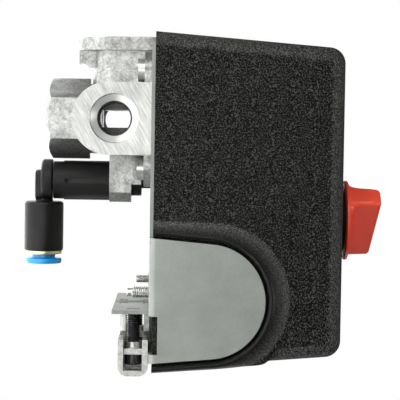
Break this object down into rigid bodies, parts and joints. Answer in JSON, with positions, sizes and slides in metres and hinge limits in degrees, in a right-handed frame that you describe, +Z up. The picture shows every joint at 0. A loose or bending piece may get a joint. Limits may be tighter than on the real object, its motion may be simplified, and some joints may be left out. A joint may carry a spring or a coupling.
{
  "type": "pressure switch",
  "caption": "Compressor pressure switch: textured cover with a rotary knob on a sheet base, cast port manifold, unloader valve with push-in elbow, and cable clamps.",
  "frame": {"origin": "centre of the bottom tank port's end face", "axes": "+Z up the port axis towards the knob, +X towards the unloader fitting and the cable side"},
  "size_m": [0.1142, 0.0704, 0.1232],
  "materials": {
    "cast_aluminium": "die-cast, sanded port faces",
    "screw_steel": "zinc plated",
    "galvanised": "galvanised sheet",
    "spring_steel": "bright spring wire",
    "rubber": "moulded",
    "brass": "turned or pressed",
    "bakelite": "moulded",
    "cover_black": "coarse moulded texture",
    "knob_red": "satin",
    "valve_black": "satin",
    "fitting_black": "satin",
    "collar_blue": "glossy",
    "zinc_strap": "zinc plated",
    "black_screw": "black zinc"
  },
  "bodies": {
    "base": {"manifold": "cast_aluminium", "flange_screws": "screw_steel", "base_frame": "galvanised", "diaphragm": "rubber", "rocker_pin": "screw_steel", "spring_bracket": "galvanised", "diff_stud": "screw_steel", "contact_block": "bakelite", "fixed_contacts": "brass", "terminal_screws": "screw_steel", "block_screw": "screw_steel", "earth_screw": "screw_steel", "earth_clamp": "brass", "cover_post": "screw_steel", "unloader_body": "valve_black"},
    "cover": {"cover": "cover_black", "cover_screw": "screw_steel"},
    "knob": {"knob": "knob_red", "knob_cam": "bakelite"},
    "rocker": {"rocker_plate": "galvanised"},
    "piston": {"pressure_piston": "cast_aluminium"},
    "bridge": {"contact_carrier": "bakelite", "moving_contacts": "brass", "contact_springs": "spring_steel"},
    "plunger": {"unloader_plunger": "valve_black", "unloader_seal": "rubber", "unloader_spring": "spring_steel"},
    "main_cup": {"spring_cup": "screw_steel", "main_spring": "spring_steel"},
    "main_screw": {"main_screw": "screw_steel"},
    "diff_cup": {"diff_cup": "screw_steel", "diff_spring": "spring_steel"},
    "diff_nut": {"diff_nut": "brass"},
    "elbow": {"elbow_body": "fitting_black", "elbow_seal": "rubber", "fitting_ring": "brass", "grip_ring": "spring_steel", "tube_seal": "rubber"},
    "collar": {"release_collar": "collar_blue"},
    "front_clamp": {"strap_front": "zinc_strap", "saddle_front": "zinc_strap"},
    "rear_clamp": {"strap_rear": "zinc_strap", "saddle_rear": "zinc_strap"},
    "front_clamp_screw": {"clamp_screw_front": "black_screw"},
    "rear_clamp_screw": {"clamp_screw_rear": "black_screw"}
  },
  "joints": [
    {"name": "cover_lift", "type": "slide", "parent": "base", "child": "cover", "axis": [0, 0, 1], "range_m": [0, 0.075]},
    {"name": "knob_turn", "type": "hinge", "parent": "cover", "child": "knob", "pos_m": [0.034, 0, 0.103], "axis": [0, 0, 1], "range_deg": [0, 90]},
    {"name": "rocker_tilt", "type": "hinge", "parent": "base", "child": "rocker", "pos_m": [0.011, 0, 0.043], "axis": [0, 1, 0], "range_deg": [0, 5], "deforming": ["main_spring", "diff_spring"]},
    {"name": "piston_slide", "type": "slide", "parent": "base", "child": "piston", "axis": [0, 0, 1], "range_m": [0, 0.0012]},
    {"name": "bridge_slide", "type": "slide", "parent": "base", "child": "bridge", "axis": [0, 0, -1], "range_m": [0, 0.0035], "deforming": ["contact_springs"]},
    {"name": "plunger_slide", "type": "slide", "parent": "base", "child": "plunger", "axis": [0, 0, -1], "range_m": [0, 0.0012], "deforming": ["unloader_spring"]},
    {"name": "main_adjust", "type": "slide", "parent": "base", "child": "main_cup", "axis": [0, 0, -1], "range_m": [-0.003, 0.003], "deforming": ["main_spring"]},
    {"name": "main_screw_turn", "type": "hinge", "parent": "main_cup", "child": "main_screw", "pos_m": [0, 0, 0.085], "axis": [0, 0, -1], "range_deg": [-1100, 1100]},
    {"name": "diff_adjust", "type": "slide", "parent": "base", "child": "diff_cup", "axis": [0, 0, -1], "range_m": [-0.002, 0.002], "deforming": ["diff_spring"]},
    {"name": "diff_nut_turn", "type": "hinge", "parent": "diff_cup", "child": "diff_nut", "pos_m": [-0.018, 0, 0.066], "axis": [0, 0, -1], "range_deg": [-1050, 1050]},
    {"name": "elbow_swivel", "type": "hinge", "parent": "base", "child": "elbow", "pos_m": [0.0214, 0, 0], "axis": [0, 0, 1], "range_deg": [-90, 90]},
    {"name": "collar_press", "type": "slide", "parent": "elbow", "child": "collar", "axis": [-1, 0, 0], "range_m": [0, 0.0012], "stiffness_N_per_m": 900},
    {"name": "front_clamp_slide", "type": "slide", "parent": "base", "child": "front_clamp", "axis": [-1, 0, 0], "range_m": [0, 0.0035]},
    {"name": "front_screw_turn", "type": "hinge", "parent": "front_clamp", "child": "front_clamp_screw", "pos_m": [0.07, -0.022, 0.0309], "axis": [-1, 0, 0], "range_deg": [0, 2100]},
    {"name": "rear_clamp_slide", "type": "slide", "parent": "base", "child": "rear_clamp", "axis": [-1, 0, 0], "range_m": [0, 0.0035]},
    {"name": "rear_screw_turn", "type": "hinge", "parent": "rear_clamp", "child": "rear_clamp_screw", "pos_m": [0.07, 0.022, 0.0309], "axis": [-1, 0, 0], "range_deg": [0, 2100]}
  ],
  "couplings": [
    {"joint": "piston_slide", "follows": "rocker_tilt", "m_per_rad": 0.011},
    {"joint": "bridge_slide", "follows": "rocker_tilt", "m_per_rad": 0.036},
    {"joint": "plunger_slide", "follows": "rocker_tilt", "m_per_rad": 0.0104},
    {"joint": "main_screw_turn", "follows": "main_adjust", "rad_per_m": 6283.2},
    {"joint": "diff_nut_turn", "follows": "diff_adjust", "rad_per_m": 8976},
    {"joint": "front_screw_turn", "follows": "front_clamp_slide", "rad_per_m": 8976},
    {"joint": "rear_screw_turn", "follows": "rear_clamp_slide", "rad_per_m": 8976}
  ]
}
